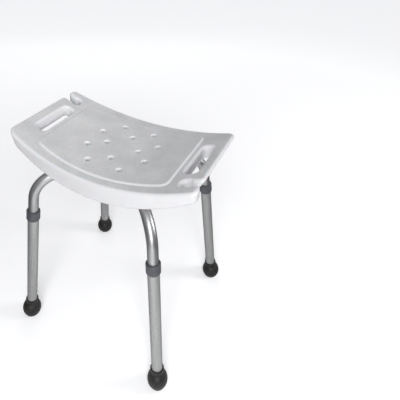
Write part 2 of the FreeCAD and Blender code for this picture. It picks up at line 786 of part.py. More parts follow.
def make_cross_spacer():
    """A block with a saddle above for the upper tube and one below for the lower tube."""
    upper, lower = tube_height_at("upper"), tube_height_at("lower")
    low, high = lower + D.spacer_margin, upper - D.spacer_margin
    blank = post("spacer_blank", 0, 0, low, high, D.spacer_radius)
    cuts = [post("spacer_bore", 0, 0, lower, upper, D.bolt_hole)]
    for name, turn in CROSSINGS.items():
        height = tube_height_at(name)
        cuts.append(level_rod(f"spacer_groove_{name}", turn, height, D.groove_length, D.tube_radius))
    spacer = join("Cut", "spacer_cut", blank, fuse("spacer_cuts", cuts))
    spacer.Label = "cross_spacer"


def centre_stack():
    """Heights of the centre joint's pieces, from the bolt's head up."""
    washer_low = tube_height_at("lower") - D.tube_radius - D.washer_thickness
    washer_high = tube_height_at("upper") + D.tube_radius
    return washer_low, washer_high


def make_centre_fasteners():
    washer_low, washer_high = centre_stack()
    rings = []
    for name, low in (("low", washer_low), ("high", washer_high)):
        disc = post(f"washer_disc_{name}", 0, 0, low, low + D.washer_thickness, D.washer_radius)
        bore = post(f"washer_bore_{name}", 0, 0, low - 1, low + D.washer_thickness + 1, D.bolt_hole)
        rings.append(join("Cut", f"washer_ring_{name}", disc, bore))
    washers = doc.addObject("Part::Compound", "centre_washers")
    washers.Links = rings
    washers.Label = "cross_washers"

    bolt = new_body("cross_bolt", Placement(Vector(0, 0, washer_low.value), Rotation()))
    profile = body_sketch(bolt, "bolt_profile", "XZ_Plane")
    head, shank = D.bolt_head_radius, D.bolt_radius
    tall, bevel = D.bolt_head_height, D.bolt_chamfer
    end = washer_high + D.washer_thickness + D.nut_height + D.bolt_excess - washer_low
    corners = [
        (0, -tall), (head * 0.6, -tall), (head, -tall * 0.3), (head, 0),
        (shank, 0), (shank, end - bevel), (shank - bevel, end), (0, end),
    ]
    draw(profile, corners)
    revolve(bolt, profile)
    socket = body_sketch(bolt, "bolt_socket", "XY_Plane", -D.bolt_head_height)
    hexagon(socket, D.bolt_socket)
    pocket(bolt, socket, D.bolt_socket_depth, reverse=True)

    nut = new_body("cross_nut", Placement(Vector(0, 0, (washer_high + D.washer_thickness).value), Rotation()))
    outline = body_sketch(nut, "nut_outline", "XY_Plane")
    hexagon(outline, D.nut_flats)
    circle(outline, 0, 0, D.bolt_radius)
    pad(nut, outline, D.nut_height)


def hexagon(sketch, flats):
    """Draws a hexagon about the origin, with two flats square to Y."""
    reach = flats / math.sqrt(3)
    corners = [
        (reach, 0), (reach / 2, flats / 2), (-reach / 2, flats / 2),
        (-reach, 0), (-reach / 2, -flats / 2), (reach / 2, -flats / 2),
    ]
    return draw(sketch, corners)


def make_saddles():
    """A strap that hangs under the tube, with an ear and a screw hole each side."""
    for leg, turn, along in saddle_places():
        x, y = across(turn, along, 0)
        spot = Placement(Vector(x.value, y.value, D.pad_bottom.value), Rotation(Vector(0, 0, 1), turn.value))
        body = new_body("saddle_" + leg, spot)
        strap = body_sketch(body, "strap_" + leg, "YZ_Plane")
        wall, half = D.saddle_wall, D.saddle_width / 2
        axis = D.tube_height - D.pad_bottom
        inner, outer = D.tube_radius, D.tube_radius + D.saddle_wall
        inner_reach = root(inner * inner - axis * axis)
        outer_reach = root(outer * outer - (axis + wall) * (axis + wall))
        corners = [
            (-half, 0), (-half, -wall), (-outer_reach, -wall), (outer_reach, -wall),
            (half, -wall), (half, 0), (inner_reach, 0), (-inner_reach, 0),
        ]
        draw(strap, corners, {2: (outer, 1), 6: (inner, -1)})
        pad(body, strap, D.saddle_length, midplane=True)
        holes = body_sketch(body, "holes_" + leg, "XY_Plane")
        for side in (-1, 1):
            circle(holes, 0, side * D.screw_offset, D.screw_radius + D.screw_clearance)
        pocket(body, holes, wall)

        def at_ear(edge):
            return is_upright(edge) and abs(middle_of(edge).y) > D.saddle_width.value / 2 - 1

        fillet(body, D.ear_corner, at_ear, "ears_" + leg)


def make_seat_fasteners():
    """The eight screws, one node, and the eight inserts that they go into, another."""
    screws, inserts = [], []
    bearing = D.pad_bottom - D.saddle_wall
    for index, (x, y) in enumerate(screw_places()):
        shank = post(f"screw_shank_{index}", x, y, bearing, bearing + D.screw_length, D.screw_radius)
        head = post(f"screw_head_{index}", x, y, bearing - D.screw_head_height, bearing, D.screw_head_radius)
        whole = fuse(f"screw_{index}", [shank, head])
        rounded = doc.addObject("Part::Fillet", f"screw_rounded_{index}")
        doc.recompute()
        low = (bearing - D.screw_head_height).value
        edges = [
            number for number, edge in enumerate(whole.Shape.Edges, start=1)
            if edge.BoundBox.ZLength < 0.01 and abs(edge.BoundBox.ZMin - low) < 0.01
        ]
        rounded.Base = whole
        rounding = D.screw_head_rounding.value
        rounded.Edges = [(number, rounding, rounding) for number in edges]
        face, deep = bearing - D.screw_head_height, bearing - D.screw_head_height + D.drive_depth
        drive_a = block(f"drive_a_{index}", x, y, face, deep, D.drive_length, D.drive_width)
        drive_b = block(f"drive_b_{index}", x, y, face, deep, D.drive_width, D.drive_length)
        cross = fuse(f"drive_{index}", [drive_a, drive_b])
        screws.append(join("Cut", f"screw_cut_{index}", rounded, cross))
        mouth, end = D.pad_bottom, D.pad_bottom + D.insert_length
        outside = post(f"insert_out_{index}", x, y, mouth, end, D.insert_radius)
        inside = post(f"insert_in_{index}", x, y, mouth, end, D.screw_radius)
        inserts.append(join("Cut", f"insert_{index}", outside, inside))
    for name, links in (("seat_screws", screws), ("seat_inserts", inserts)):
        group = doc.addObject("Part::Compound", name + "_group")
        group.Links = links
        group.Label = name


# ---------------------------------------------------------------- legs


def leg_placement(leg, along=0.0):
    """The frame of a leg: origin on its axis, Z up along it, X outwards."""
    sx, sy = LEGS[leg]
    facing = math.degrees(math.atan2(sy * sine(D.leg_direction).value, sx * cosine(D.leg_direction).value))
    spin = Rotation(Vector(0, 0, 1), facing)
    lean = Rotation(Vector(0, 1, 0), -D.splay.value)
    foot = spin.multVec(Vector(D.foot_reach.value, 0, 0))
    turned = spin * lean
    return Placement(foot + turned.multVec(Vector(0, 0, along)), turned)


def make_leg_tube(leg):
    body = new_body("leg_tube_" + leg, leg_placement(leg, D.leg_start.value))
    ring = body_sketch(body, "leg_ring_" + leg, "XY_Plane")
    circle(ring, 0, 0, D.leg_radius)
    circle(ring, 0, 0, D.leg_radius - D.leg_wall)
    pad(body, ring, D.leg_end - D.leg_start)
    doc.recompute()
    hole = body_sketch(body, "leg_hole_" + leg, "YZ_Plane")
    circle(hole, 0, D.button_height - D.leg_start, D.hole_radius)
    cut = pocket(body, hole, D.leg_radius + 1)
    holes = body.newObject("PartDesign::LinearPattern", "leg_holes_" + leg)
    holes.Originals = [cut]
    holes.Direction = (hole, ["V_Axis"])
    bind(holes, Length=D.hole_pitch * (D.hole_count - 1), Occurrences=D.hole_count)
    body.Tip = holes


def make_collar(leg):
    """Pressed on the top of the leg tube. Its narrower upper bore guides the cross tube."""
    low = D.leg_end + D.collar_lip - D.collar_length
    body = new_body("leg_collar_" + leg, leg_placement(leg, low.value))
    profile = body_sketch(body, "collar_profile_" + leg, "XZ_Plane")
    outer, step, top = D.collar_radius, D.collar_length - D.collar_lip, D.collar_length
    corners = [
        (D.leg_radius, 0), (D.leg_radius + D.collar_foot, 0), (outer, D.collar_taper),
        (outer, top - D.collar_chamfer),
        (outer - D.collar_chamfer, top), (D.collar_bore, top), (D.collar_bore, step), (D.leg_radius, step),
    ]
    draw(profile, corners)
    revolve(body, profile)


def make_foot(leg):
    """A rubber bulb with a socket. Its sole is level with the floor, square to Z of the whole stool."""
    body = new_body("foot_" + leg, leg_placement(leg))
    profile = body_sketch(body, "foot_profile_" + leg, "XZ_Plane")
    top, edge = D.foot_height, D.foot_lip_edge
    neck, lip, lip_low = D.foot_neck_radius, D.foot_lip_radius, top - D.foot_lip_height
    base, flare, stock = D.foot_base_radius, D.foot_base_flare, D.foot_stock
    corners = [
        (0, -stock), (base, -stock), (base + flare, 0), (D.foot_bulb_radius, D.foot_bulb_height),
        (neck, D.foot_neck_height), (neck, lip_low), (lip, lip_low + edge), (lip, top - edge),
        (lip - edge, top), (D.leg_radius, top), (D.leg_radius, D.foot_floor), (0, D.foot_floor),
    ]
    draw(profile, corners, {2: (D.foot_bulb_lower, 1), 3: (D.foot_bulb_upper, 1)})
    revolve(body, profile)
    doc.recompute()
    sole = body_sketch(body, "foot_sole_" + leg, "XZ_Plane")
    reach, slope = 2 * base, tangent(D.splay)
    draw(sole, [(-reach, reach * slope), (-reach, -reach), (reach, -reach), (reach, -reach * slope)])
    pocket(body, sole, 2 * reach, midplane=True)


def make_foot_washer(leg):
    body = new_body("foot_washer_" + leg, leg_placement(leg, D.foot_floor.value))
    ring = body_sketch(body, "foot_washer_ring_" + leg, "XY_Plane")
    circle(ring, 0, 0, D.foot_washer_radius)
    circle(ring, 0, 0, D.foot_washer_hole)
    pad(body, ring, D.leg_start - D.foot_floor)


def make_button(leg):
    """Its own Z points from the leg's axis to the middle of the stool."""
    spot = leg_placement(leg, D.button_height.value)
    turned = spot.Rotation * Rotation(Vector(0, 1, 0), -90)
    body = new_body("snap_button_" + leg, Placement(spot.Base, turned))
    profile = body_sketch(body, "button_profile_" + leg, "XZ_Plane")
    tip = D.leg_radius + D.button_proud
    shoulder = tip - D.button_dome
    shank, flange = D.button_radius, D.button_flange_radius
    dome = (shank * shank + D.button_dome * D.button_dome) / (2 * D.button_dome)
    corners = [
        (0, D.button_flange_low), (flange, D.button_flange_low), (flange, D.button_flange_high),
        (shank, D.button_flange_high), (shank, shoulder), (0, tip),
    ]
    draw(profile, corners, {4: (dome, 1)})
    revolve(body, profile)


def make_spring(leg):
    """A strip folded into a V, open downwards: one leaf behind the button, one on the far wall."""
    body = new_body("button_spring_" + leg, leg_placement(leg, D.button_height.value))
    strip = body_sketch(body, "spring_strip_" + leg, "XZ_Plane")
    thick, fold = D.spring_thickness, D.spring_bend
    tail, rise = -D.spring_tail, D.spring_rise
    half = fold - D.spring_slack
    corners = [
        (-D.spring_front, tail), (thick - D.spring_front, tail), (thick - half, rise), (half - thick, rise),
        (D.spring_back - thick, tail), (D.spring_back, tail), (half, rise), (-half, rise),
    ]
    draw(strip, corners, {2: (fold - thick, -1), 6: (fold, 1)})
    pad(body, strip, D.spring_width, midplane=True)


def export():
    """Checks every object and every sub-part, and writes the sub-parts."""
    doc.recompute()
    for thing in doc.Objects:
        if "Invalid" in thing.State or "Error" in thing.State:
            raise ValueError(f"{thing.Name} failed: {thing.State}")
    names = ["seat", "seat_inserts", "seat_screws", "cross_tube_upper", "cross_tube_lower", "cross_spacer",
             "cross_bolt", "cross_nut", "cross_washers"]
    for leg in LEGS:
        names += [kind + leg for kind in ("saddle_", "leg_tube_", "leg_collar_", "foot_", "foot_washer_",
                                          "snap_button_", "button_spring_")]
    os.makedirs("parts", exist_ok=True)
    shapes = {}
    for name in names:
        shape = doc.getObjectsByLabel(name)[0].Shape
        if shape.isNull() or not shape.isValid() or not shape.Solids:
            raise ValueError(f"{name} has no valid solid")
        shapes[name] = shape
    for name, shape in shapes.items():
        shape.exportStep(f"parts/{name}.step")
        print(f"{name}: {len(shape.Solids)} solid, {shape.Volume / 1000:.2f} cm3")


make_seat()
make_cross_tube("upper", CROSSINGS["upper"], dipped=False)
make_cross_tube("lower", CROSSINGS["lower"], dipped=True)
make_cross_spacer()
make_centre_fasteners()
make_saddles()
make_seat_fasteners()
for leg_name in LEGS:
    make_leg_tube(leg_name)
    make_collar(leg_name)
    make_foot(leg_name)
    make_foot_washer(leg_name)
    make_button(leg_name)
    make_spring(leg_name)
export()
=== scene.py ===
"""The looks of the shower stool, in metres in the CAD part's frame: X along the seat, +Y back, +Z up."""

import json
import math

import bmesh
import bpy
from mathutils import Matrix, Vector


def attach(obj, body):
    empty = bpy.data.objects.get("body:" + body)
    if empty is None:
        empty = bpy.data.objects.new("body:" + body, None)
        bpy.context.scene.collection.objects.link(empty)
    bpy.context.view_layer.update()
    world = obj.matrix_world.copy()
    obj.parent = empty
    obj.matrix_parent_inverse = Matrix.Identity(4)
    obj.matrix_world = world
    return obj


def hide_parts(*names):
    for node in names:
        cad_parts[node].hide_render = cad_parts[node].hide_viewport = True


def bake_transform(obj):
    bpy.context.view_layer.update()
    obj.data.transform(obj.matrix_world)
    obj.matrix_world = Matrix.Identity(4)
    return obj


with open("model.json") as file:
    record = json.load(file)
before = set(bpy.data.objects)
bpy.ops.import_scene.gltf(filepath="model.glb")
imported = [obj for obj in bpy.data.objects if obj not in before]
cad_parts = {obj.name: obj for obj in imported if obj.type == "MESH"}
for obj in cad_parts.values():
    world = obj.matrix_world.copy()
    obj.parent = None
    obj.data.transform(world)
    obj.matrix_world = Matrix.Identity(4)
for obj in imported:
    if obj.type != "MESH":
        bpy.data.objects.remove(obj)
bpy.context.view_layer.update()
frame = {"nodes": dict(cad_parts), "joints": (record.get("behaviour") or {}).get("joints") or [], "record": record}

MM = 0.001
LEGS = ("front_left", "front_right", "back_right", "back_left")

# ---------------------------------------------------------------- sizes

SEAT_VOXEL = 1.6 * MM          # facets of the seat's skin
SEAT_SMOOTHING = 7             # passes that soften its edges
SEAT_KEPT = 0.45               # share of its facets that is kept
TOP_CENTRE = (0.0, 0.0, 1.16)  # what the seat's hollow top curves round, seen from the front
TOP_RADIUS = 0.600
NOTCH_SIDE = -0.093            # the notches' y at the right end, and minus this at the left end
# Below their upper edge the seat's end faces lean in, by "slope" times the depth past "below". The lean
# starts at x "start" and is whole from x "full" on.
END_LEAN = dict(start=0.216, full=0.236, below=5 * MM, slope=0.5)

FLOOR_REACH = 60.0             # half the width of the floor
FLOOR_GLOW = 0.31              # light that the floor gives by itself, near the stool
FLOOR_FAR_GLOW = 0.62          # and further off, where the lamps don't reach
FLOOR_NEAR, FLOOR_FAR = 0.7, 2.6
# The painted pool of light on the floor: all but camera rays see the floor bright here and painted dark further
# off, so the tubes reflect it as bright.
# It is longest along the view. Its sizes are measured across the view, and those along the view are multiplied by
# "flat" first.
PAINTED_POOL = dict(middle=(0.0, -0.35, 0.0), flat=0.3, bright_to=0.2, dark_from=0.7, dark=0.08)

# A foot's and a collar's outline: radii, and heights along the leg from the floor or the collar's end.
FOOT = dict(height=66 * MM, bulb=26.85 * MM, bulb_height=24 * MM, base=19 * MM, lower_arc=40.6 * MM,
            upper_arc=36.1 * MM, neck=16.8 * MM, neck_height=49 * MM, lip=17.8 * MM, lip_height=3.5 * MM,
            bore=14.35 * MM, bore_floor=12 * MM, stock=6 * MM)
COLLAR = dict(bottom=383 * MM, length=29 * MM, radius=17.2 * MM, bore=14.35 * MM, throat=13.0 * MM,
              step=24 * MM, foot=15.3 * MM, taper=4 * MM, flutes=18, flute_depth=0.35 * MM)
SOLE_RINGS = 3                 # grooves in a sole
# The four steps of a groove, from the sole's edge inwards: a step's width, and how far it comes out of the
# rubber, in millimetres.
SOLE_STEPS = ((2.2, 0), (0.3, -1.2), (1.6, 0), (0.3, 1.2))
SPRING = dict(button=86 * MM, thickness=0.5 * MM, width=7 * MM, tail=7 * MM, rise=34 * MM, fold=2.8 * MM,
              front=8.5 * MM, back=10 * MM, rounding=0.15 * MM)

LAMP_AIM = 0.3                 # height that the lamps face
CAMERA = dict(place=(0.4089, -0.6459, 1.0602), azimuth=27.3, elevation=33.5, roll=1.3, lens=33.46,
              shift=(0.125, -0.125))

# ---------------------------------------------------------------- materials


class Finish:
    """The nodes of one material. Each method adds a node and returns its output socket."""

    def __init__(self, name, **surface):
        self.material = bpy.data.materials.new(name)
        self.material.use_nodes = True
        self.tree = self.material.node_tree
        self.shader = self.tree.nodes["Principled BSDF"]
        self.place = self.node("TexCoord").outputs["Object"]
        for socket, value in surface.items():
            self.set(socket.replace("_", " "), value)

    def node(self, kind, inputs=(), **settings):
        made = self.tree.nodes.new("ShaderNode" + kind)
        for key, value in settings.items():
            setattr(made, key, value)
        for key, value in dict(inputs).items():
            self.feed(made.inputs[key], value)
        return made

    def feed(self, socket, value):
        if isinstance(value, bpy.types.NodeSocket):
            self.tree.links.new(value, socket)
        elif socket.type == "RGBA" and len(value) == 3:
            socket.default_value = (*value, 1.0)
        else:
            socket.default_value = value

    def set(self, socket, value):
        self.feed(self.shader.inputs[socket], value)

    def noise(self, scale, where=None, detail=2.0, roughness=0.5):
        inputs = {"Vector": where or self.place, "Scale": scale, "Detail": detail, "Roughness": roughness}
        return self.node("TexNoise", inputs).outputs["Fac"]

    def stretch(self, where, factors):
        return self.node("VectorMath", {0: where, 1: factors}, operation="MULTIPLY").outputs["Vector"]

    def turned(self, degrees):
        """Place turned about Z, so that Y runs across the vertical plane at that angle from X."""
        rotation = (0.0, 0.0, -math.radians(degrees))
        return self.node("Mapping", {"Vector": self.place, "Rotation": rotation}).outputs["Vector"]

    def ranged(self, value, low, high, to_low, to_high):
        inputs = {"Value": value, "From Min": low, "From Max": high, "To Min": to_low, "To Max": to_high}
        return self.node("MapRange", inputs).outputs["Result"]

    def blend(self, factor, first, second):
        made = self.node("Mix", data_type="RGBA")
        self.feed(made.inputs["Factor"], factor)
        colours = [socket for socket in made.inputs if socket.type == "RGBA"]
        for socket, value in zip(colours, (first, second)):
            self.feed(socket, value)
        return next(socket for socket in made.outputs if socket.type == "RGBA")

    def sum(self, first, second, weight=1.0):
        inputs = {0: second, 1: weight, 2: first}
        return self.node("Math", inputs, operation="MULTIPLY_ADD").outputs[0]

    def bump(self, height, distance, strength=1.0):
        inputs = {"Height": height, "Distance": distance, "Strength": strength}
        self.set("Normal", self.node("Bump", inputs).outputs["Normal"])


def top_grain_and_painted_light_mask(finish):
    """1 on the seat's hollow top, 0 where the surface turns away from it, as at edges, walls and holes. It masks
    the grain, and also the painted light that makes edges, walls and holes whiter.
    """
    over = finish.node("VectorMath", {0: finish.stretch(finish.place, (-1.0, 0.0, -1.0)), 1: TOP_CENTRE},
                       operation="ADD")
    inwards = finish.node("VectorMath", {0: over.outputs["Vector"]}, operation="NORMALIZE")
    normal = finish.node("NewGeometry").outputs["Normal"]
    facing = finish.node("VectorMath", {0: inwards.outputs["Vector"], 1: normal}, operation="DOT_PRODUCT")
    return finish.ranged(facing.outputs["Value"], 0.955, 0.99, 0.0, 1.0)


def seat_plastic():
    """Moulded plastic. The hollow top is grained and faintly clouded, the edges smooth. Edges, walls and holes are
    painted whiter: painted light standing in for the lamp brightening them.
    """
    finish = Finish("seat_plastic", Subsurface_Weight=0.08, Subsurface_Scale=0.002, Specular_IOR_Level=0.4)
    grain_and_painted_light = top_grain_and_painted_light_mask(finish)
    cloud = finish.noise(16.0, detail=3.0)
    speckle = finish.noise(230.0, detail=4.0, roughness=0.8)
    shade = finish.ranged(finish.sum(cloud, speckle, 1.2), 0.85, 1.35, 0.0, 1.0)
    # painted light: the whiter colour of edges, walls and holes stands in for how light brightens them
    smooth = finish.blend(shade, (0.785, 0.783, 0.798), (0.815, 0.813, 0.826))
    rough = finish.blend(shade, (0.600, 0.603, 0.605), (0.740, 0.742, 0.742))
    finish.set("Base Color", finish.blend(grain_and_painted_light, smooth, rough))
    worn = finish.noise(9.0, detail=2.0)
    finish.set("Roughness", finish.sum(finish.ranged(worn, 0.3, 0.7, 0.34, 0.48), grain_and_painted_light, 0.08))
    grain = finish.noise(520.0, detail=3.0, roughness=0.6)
    waves = finish.noise(35.0, detail=1.0)
    deeper_on_top = finish.ranged(grain_and_painted_light, 0.0, 1.0, 0.15, 1.5)
    depth = finish.node("Math", {0: grain, 1: deeper_on_top}, operation="MULTIPLY")
    finish.bump(finish.sum(depth.outputs[0], waves, 1.2), 0.38 * MM, 0.85)
    return finish.material


def moulded_plastic(name, dark, light, roughness):
    """Small injection-moulded pieces: an even grain and slight flow clouds."""
    finish = Finish(name, Specular_IOR_Level=0.45)
    cloud = finish.noise(60.0, detail=3.0)
    finish.set("Base Color", finish.blend(finish.ranged(cloud, 0.3, 0.7, 0.0, 1.0), dark, light))
    grain = finish.noise(1500.0, detail=2.0)
    finish.set("Roughness", finish.ranged(grain, 0.3, 0.7, roughness - 0.06, roughness + 0.06))
    finish.bump(grain, 0.1 * MM, 0.8)
    return finish.material


def foot_rubber():
    """Black rubber with a brown cast, dusty in patches."""
    finish = Finish("foot_rubber", Specular_IOR_Level=0.4, Sheen_Weight=0.04, Sheen_Roughness=0.5)
    cloud = finish.noise(55.0, detail=4.0, roughness=0.6)
    dusty = finish.ranged(cloud, 0.45, 0.75, 0.0, 1.0)
    finish.set("Base Color", finish.blend(dusty, (0.009, 0.0078, 0.0072), (0.026, 0.023, 0.021)))
    finish.set("Roughness", finish.ranged(cloud, 0.3, 0.7, 0.42, 0.62))
    pores = finish.noise(1300.0, detail=2.0)
    lumps = finish.noise(140.0, detail=2.0)
    finish.bump(finish.sum(pores, lumps, 2.5), 0.16 * MM, 0.8)
    return finish.material


def drawn_aluminium(name, turn, dark, light, roughness, tint, metallic):
    """Drawn and anodised tube. Its draw lines follow the tube in the vertical plane at turn degrees."""
    finish = Finish(name, Metallic=metallic, Specular_Tint=tint, Specular_IOR_Level=0.2)
    lengthways = finish.stretch(finish.turned(turn), (0.02, 1.0, 0.02))
    lines = finish.noise(900.0, lengthways, detail=2.0, roughness=0.6)
    bands = finish.noise(260.0, lengthways, detail=1.0)
    smudge = finish.noise(28.0, detail=3.0)
    tone = finish.ranged(finish.sum(lines, bands, 0.6), 0.55, 1.05, 0.0, 1.0)
    finish.set("Base Color", finish.blend(tone, dark, light))
    rough = finish.sum(finish.ranged(smudge, 0.35, 0.7, 0.0, 0.5), lines, 0.5)
    finish.set("Roughness", finish.ranged(rough, 0.15, 0.75, roughness - 0.05, roughness + 0.07))
    finish.bump(lines, 0.004 * MM, 0.5)
    return finish.material


def steel(name, dark, light, roughness):
    """Turned or stamped steel: fine tool lines round the piece's height and slight staining."""
    finish = Finish(name, Metallic=1.0)
    lines = finish.noise(900.0, finish.stretch(finish.place, (0.15, 0.15, 1.0)), detail=3.0)
    stain = finish.noise(120.0, detail=3.0)
    finish.set("Base Color", finish.blend(finish.ranged(stain, 0.35, 0.7, 0.0, 1.0), light, dark))
    finish.set("Roughness", finish.ranged(lines, 0.3, 0.7, roughness - 0.05, roughness + 0.08))
    finish.bump(lines, 0.02 * MM, 0.6)
    return finish.material


def knurled_brass():
    """Brass inserts with crossed knurling."""
    finish = Finish("brass_insert", Metallic=1.0)
    ridges = []
    for tilt in (1.0, -1.0):
        rotation = (0.0, tilt * 0.5, 0.6 * tilt)
        slanted = finish.node("Mapping", {"Vector": finish.place, "Rotation": rotation}).outputs["Vector"]
        wave = finish.node("TexWave", {"Vector": slanted, "Scale": 500.0, "Distortion": 0.3})
        ridges.append(wave.outputs["Fac"])
    stain = finish.noise(200.0, detail=3.0)
    tone = finish.ranged(stain, 0.3, 0.7, 0.0, 1.0)
    finish.set("Base Color", finish.blend(tone, (0.52, 0.36, 0.14), (0.72, 0.55, 0.25)))
    finish.set("Roughness", finish.ranged(stain, 0.3, 0.7, 0.25, 0.4))
    finish.bump(finish.sum(ridges[0], ridges[1]), 0.2 * MM, 0.8)
    return finish.material


def sole(leg):
    """The middle of a leg's sole on the floor."""
    mounts = {mount["name"]: mount for mount in frame["record"]["mounts"]}
    return Vector(mounts["sole_" + leg]["pos_m"])


def leg_turn(leg):
    """The angle from X, in whole degrees, of the vertical plane that a leg and its cross tube lie in."""
    x, y, _ = sole(leg)
    return round(math.degrees(math.atan2(y, x)) % 180)


TURNS = {**{leg: leg_turn(leg) for leg in LEGS},
         "upper": leg_turn("front_left"), "lower": leg_turn("front_right")}


def make_materials():
    """One material for each slot of the record, and a pair for each of the two tube slots."""
    made = {
        "seat_plastic": seat_plastic(),
        "saddle_plastic": moulded_plastic("saddle_plastic", (0.50, 0.50, 0.50), (0.58, 0.58, 0.575), 0.5),
        "collar_plastic": moulded_plastic("collar_plastic", (0.07, 0.071, 0.083), (0.1, 0.102, 0.119), 0.4),
        "foot_rubber": foot_rubber(),
        "screw_steel": steel("screw_steel", (0.42, 0.42, 0.43), (0.62, 0.62, 0.63), 0.28),
        "spring_steel": steel("spring_steel", (0.16, 0.17, 0.20), (0.36, 0.37, 0.40), 0.32),
        "button_steel": steel("button_steel", (0.60, 0.61, 0.63), (0.80, 0.81, 0.83), 0.16),
        "brass_insert": knurled_brass(),
    }
    for turn in sorted(set(TURNS.values())):
        made["frame_aluminium", turn] = drawn_aluminium(
            f"frame_aluminium_{turn}", turn, (0.46, 0.465, 0.47), (0.58, 0.585, 0.59), 0.37,
            (0.20, 0.20, 0.20), 0.9)
        made["leg_aluminium", turn] = drawn_aluminium(
            f"leg_aluminium_{turn}", turn, (0.37, 0.375, 0.368), (0.46, 0.465, 0.458), 0.30,
            (0.10, 0.10, 0.10), 0.5)
    return made


def put(piece, material):
    """Makes a material the only one of a piece."""
    piece.data.materials.clear()
    piece.data.materials.append(material)


def dress_cad_nodes(materials):
    """Gives each CAD node that stays its material, by the record's slot."""
    for part in frame["record"]["subparts"]:
        name, slot = part["node"], part["material_slot"]
        turn = next((TURNS[key] for key in TURNS if name.endswith(key)), None)
        put(frame["nodes"][name], materials.get(slot) or materials[slot, turn])


# ---------------------------------------------------------------- mesh tools


def new_piece(name, bm):
    """A smooth-shaded object made from a bmesh."""
    mesh = bpy.data.meshes.new(name)
    bm.to_mesh(mesh)
    bm.free()
    for face in mesh.polygons:
        face.use_smooth = True
    piece = bpy.data.objects.new(name, mesh)
    bpy.context.scene.collection.objects.link(piece)
    return piece


def bake_modifiers(piece):
    """Replaces a piece's mesh by what its modifiers make of it."""
    graph = bpy.context.evaluated_depsgraph_get()
    mesh = bpy.data.meshes.new_from_object(piece.evaluated_get(graph))
    piece.modifiers.clear()
    piece.data = mesh
    for face in mesh.polygons:
        face.use_smooth = True


def leg_frame(leg):
    """From a leg's own frame to the stool's: origin on its axis at the floor, Z up along it, X outwards."""
    joints = {joint["name"]: joint for joint in frame["joints"]}
    up = -Vector(joints[leg + "_height"]["axis"]).normalized()
    side = up.cross(sole(leg)).normalized()
    out = side.cross(up)
    return Matrix.Translation(sole(leg)) @ Matrix((out, side, up)).transposed().to_4x4()


def bow(start, end, radius, steps=14):
    """Points after start to end on the arc between them that bulges to the right of the way."""
    start, end = Vector(start), Vector(end)
    half = (end - start) / 2
    rise = math.sqrt(radius * radius - half.length_squared)
    centre = start + half + Vector((-half.y, half.x)).normalized() * rise
    first, last = start - centre, end - centre
    turn = first.angle_signed(last)
    points = []
    for step in range(1, steps + 1):
        angle = math.atan2(first.y, first.x) - turn * step / steps
        points.append((centre.x + radius * math.cos(angle), centre.y + radius * math.sin(angle)))
    return points


def eased(corners, steps=4):
    """An outline with rounded corners, each corner given as (radius, height, rounding)."""
    points = []
    count = len(corners)
    for index, (x, y, rounding) in enumerate(corners):
        corner = Vector((x, y))
        if rounding == 0:
            points.append((x, y))
            continue
        before = (Vector(corners[index - 1][:2]) - corner).normalized() * rounding
        after = (Vector(corners[(index + 1) % count][:2]) - corner).normalized() * rounding
        for step in range(steps + 1):
            t = step / steps
            point = corner + before * (1 - t) ** 2 + after * t ** 2
            points.append((point.x, point.y))
    return points


def turned(outline, matrix, closed, steps=96, wave=None):
    """Turns an outline of (radius, height) about Z. wave(angle, radius) is added to a radius."""
    bm = bmesh.new()
    rings = []
    for radius, height in outline:
        ring = []
        for step in range(steps):
            angle = math.tau * step / steps
            wide = radius + (wave(angle, radius) if wave else 0.0)
            point = Vector((wide * math.cos(angle), wide * math.sin(angle), height))
            ring.append(bm.verts.new(matrix @ point))
        rings.append(ring)
    pairs = list(zip(rings, rings[1:]))
    if closed:
        pairs.append((rings[-1], rings[0]))
    for low, high in pairs:
        for step in range(steps):
            after = (step + 1) % steps
            bm.faces.new((low[step], low[after], high[after], high[step]))
    if not closed:
        bm.faces.new(reversed(rings[0]))
        bm.faces.new(rings[-1])
    bmesh.ops.recalc_face_normals(bm, faces=bm.faces)
    return bm


# ---------------------------------------------------------------- pieces


def largest_shell(bm):
    """Deletes all but the largest connected shell, which leaves the hollow inside the board out."""
    shells, seen = [], set()
    for start in bm.verts:
        if start in seen:
            continue
        seen.add(start)
        shell, waiting = [start], [start]
        while waiting:
            for edge in waiting.pop().link_edges:
                for vert in edge.verts:
                    if vert not in seen:
                        seen.add(vert)
                        shell.append(vert)
                        waiting.append(vert)
        shells.append(shell)
    shells.sort(key=len)
    bmesh.ops.delete(bm, geom=[vert for shell in shells[:-1] for vert in shell], context="VERTS")


def lean_ends(mesh):
    """Draws the end faces in below their upper edge, except on the block beyond each notch."""
    for vert in mesh.vertices:
        x, y, z = vert.co
        near_end = (abs(x) - END_LEAN["start"]) / (END_LEAN["full"] - END_LEAN["start"])
        top = TOP_CENTRE[2] - math.sqrt(TOP_RADIUS ** 2 - x * x)
        depth = top - z - END_LEAN["below"]
        if near_end > 0 and depth > 0 and math.copysign(1, x) * y > NOTCH_SIDE:
            vert.co.x -= math.copysign(min(1.0, near_end) * END_LEAN["slope"] * depth, x)


def make_seat(materials):
    """The seat's skin, with its edges softened as moulding leaves them."""
    bm = bmesh.new()
    bm.from_mesh(frame["nodes"]["seat"].data)
    bmesh.ops.remove_doubles(bm, verts=bm.verts, dist=0.001 * MM)
    largest_shell(bm)
    seat = new_piece("seat_shell", bm)
    remesh = seat.modifiers.new("skin", "REMESH")
    remesh.mode, remesh.voxel_size = "VOXEL", SEAT_VOXEL
    smooth = seat.modifiers.new("soften", "SMOOTH")
    smooth.factor, smooth.iterations = 0.5, SEAT_SMOOTHING
    seat.modifiers.new("thin out", "DECIMATE").ratio = SEAT_KEPT
    bake_modifiers(seat)
    lean_ends(seat.data)
    put(seat, materials["seat_plastic"])
    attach(seat, "frame")
    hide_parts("seat")


